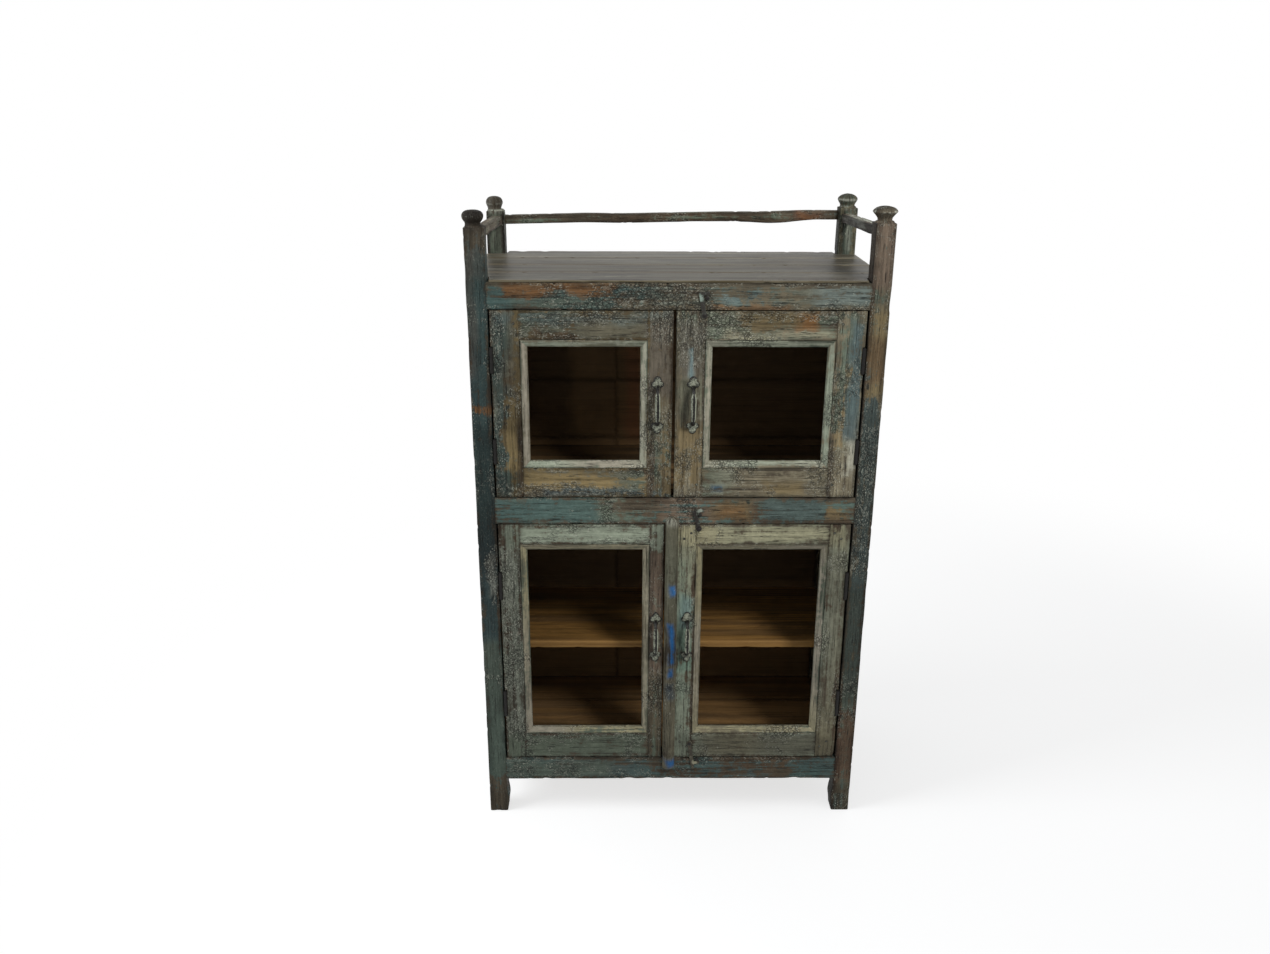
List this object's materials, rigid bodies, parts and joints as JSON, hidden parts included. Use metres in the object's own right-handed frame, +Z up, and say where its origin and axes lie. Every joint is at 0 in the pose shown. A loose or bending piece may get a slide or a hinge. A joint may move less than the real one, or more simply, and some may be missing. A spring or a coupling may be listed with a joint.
{
  "type": "glazed cabinet",
  "caption": "Free-standing glazed cabinet with hinged doors on an upper and a lower compartment, a shelf inside, square posts with carved knobs and a low gallery round the top.",
  "frame": {"origin": "on the floor, midway across the whole width and the whole depth, with the knobs and the handles counted in", "axes": "+Z up, +Y from the doors to the back, +X to the right as seen from the front"},
  "size_m": [0.91, 0.4709, 1.483],
  "materials": {
    "post_paint": "worn slate and turquoise paint over brown wood",
    "rail_paint": "worn turquoise-grey paint over brown wood",
    "side_paint": "worn paint over brown wood",
    "top_wood": "smooth waxed dark planks",
    "inside_wood": "waxed dark brown wood",
    "shelf_wood": "waxed honey-brown wood",
    "upper_door_paint": "worn grey-green and turquoise paint",
    "lower_door_paint": "worn pale sage paint",
    "bead_paint": "worn pale greige paint",
    "strip_paint": "dark worn paint with blue patches",
    "window_glass": "clear glass",
    "forged_iron": "dark forged iron, worn",
    "hinge_iron": "dark oxidised iron",
    "nail_iron": "worn iron"
  },
  "bodies": {
    "carcass": {"front_left_post": "post_paint", "front_right_post": "post_paint", "back_left_post": "post_paint", "back_right_post": "post_paint", "top_front_rail": "rail_paint", "middle_front_rail": "rail_paint", "bottom_front_rail": "rail_paint", "back_rails": "side_paint", "left_side_rails": "side_paint", "right_side_rails": "side_paint", "left_side_boards": "side_paint", "right_side_boards": "side_paint", "back_boards": "side_paint", "top_boards": "top_wood", "upper_floor_boards": "inside_wood", "lower_floor_boards": "inside_wood", "lower_shelf": "shelf_wood", "support_cleats": "inside_wood", "door_stops": "inside_wood", "back_gallery_rail": "rail_paint", "left_gallery_rail": "rail_paint", "right_gallery_rail": "rail_paint", "hinge_frame_leaves": "hinge_iron", "hinge_frame_nails": "nail_iron", "hinge_pins": "hinge_iron", "latch_catch_pins": "nail_iron"},
    "upper_left_door": {"upper_left_door_stiles": "upper_door_paint", "upper_left_door_rails": "upper_door_paint", "upper_left_door_glass": "window_glass", "upper_left_door_beads": "bead_paint", "upper_left_door_handle": "forged_iron", "upper_left_door_hinge_leaves": "hinge_iron", "upper_left_door_nails": "nail_iron"},
    "upper_right_door": {"upper_right_door_stiles": "upper_door_paint", "upper_right_door_rails": "upper_door_paint", "upper_right_door_glass": "window_glass", "upper_right_door_beads": "bead_paint", "upper_right_door_handle": "forged_iron", "upper_right_door_hinge_leaves": "hinge_iron", "upper_right_door_nails": "nail_iron", "upper_latch_nail": "nail_iron"},
    "lower_left_door": {"lower_left_door_stiles": "lower_door_paint", "lower_left_door_rails": "lower_door_paint", "lower_left_door_glass": "window_glass", "lower_left_door_beads": "bead_paint", "lower_left_door_handle": "forged_iron", "lower_left_door_hinge_leaves": "hinge_iron", "lower_left_door_nails": "nail_iron"},
    "lower_right_door": {"lower_right_door_stiles": "lower_door_paint", "lower_right_door_rails": "lower_door_paint", "lower_right_door_glass": "window_glass", "lower_right_door_beads": "bead_paint", "lower_right_door_handle": "forged_iron", "lower_right_door_hinge_leaves": "hinge_iron", "lower_right_door_nails": "nail_iron", "lower_right_door_strip": "strip_paint", "lower_latch_nails": "nail_iron"},
    "top_latch": {"top_latch_hook": "forged_iron"},
    "middle_latch": {"middle_latch_hook": "forged_iron"},
    "bottom_latch": {"bottom_latch_hook": "forged_iron"}
  },
  "joints": [
    {"name": "upper_left_door_hinge", "type": "hinge", "parent": "carcass", "child": "upper_left_door", "pos_m": [-0.4015, -0.2065, 1.054], "axis": [0, 0, -1], "range_deg": [0, 160]},
    {"name": "upper_right_door_hinge", "type": "hinge", "parent": "carcass", "child": "upper_right_door", "pos_m": [0.4015, -0.2065, 1.054], "axis": [0, 0, 1], "range_deg": [0, 160]},
    {"name": "lower_left_door_hinge", "type": "hinge", "parent": "carcass", "child": "lower_left_door", "pos_m": [-0.4015, -0.2065, 0.466], "axis": [0, 0, -1], "range_deg": [0, 160]},
    {"name": "lower_right_door_hinge", "type": "hinge", "parent": "carcass", "child": "lower_right_door", "pos_m": [0.4015, -0.2065, 0.466], "axis": [0, 0, 1], "range_deg": [0, 160]},
    {"name": "top_latch_swivel", "type": "hinge", "parent": "upper_right_door", "child": "top_latch", "pos_m": [0.055, -0.2065, 1.2565], "axis": [0, -1, 0], "range_deg": [-7, 100]},
    {"name": "middle_latch_swivel", "type": "hinge", "parent": "lower_right_door", "child": "middle_latch", "pos_m": [0.055, -0.2065, 0.7665], "axis": [0, -1, 0], "range_deg": [-7, 60]},
    {"name": "bottom_latch_swivel", "type": "hinge", "parent": "lower_right_door", "child": "bottom_latch", "pos_m": [0.045, -0.2065, 0.1965], "axis": [0, -1, 0], "range_deg": [-28, 7]}
  ]
}
